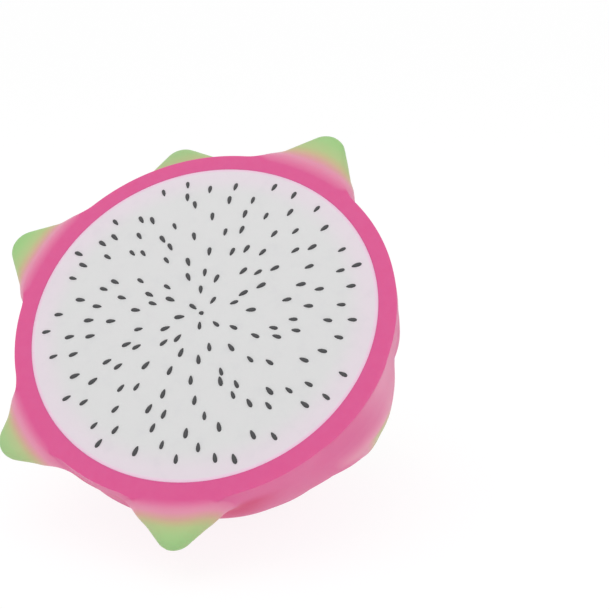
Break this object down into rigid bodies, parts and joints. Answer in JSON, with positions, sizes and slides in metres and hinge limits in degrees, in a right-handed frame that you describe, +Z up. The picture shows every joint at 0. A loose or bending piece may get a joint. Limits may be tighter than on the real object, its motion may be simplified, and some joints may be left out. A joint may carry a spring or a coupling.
{
  "type": "dragon fruit half",
  "caption": "Half of a white-fleshed dragon fruit lying on its pink, scaly rind with the seeded cut face tipped up and forward.",
  "frame": {"origin": "middle of the bounding box in plan, on the plane the fruit rests on", "axes": "+Z up from the table; the cut face looks to -Y and up, tilted 45 degrees; the flower end points to +Y and down; +X to the right seen from the cut face"},
  "size_m": [0.1064, 0.11, 0.0922],
  "materials": {
    "rind": "satin, waxy fruit skin, pink turning green at the scale tips",
    "flesh": "moist white fruit flesh with dark grey seeds"
  },
  "bodies": {
    "root": {"rind": "rind", "flesh": "flesh"}
  },
  "joints": []
}
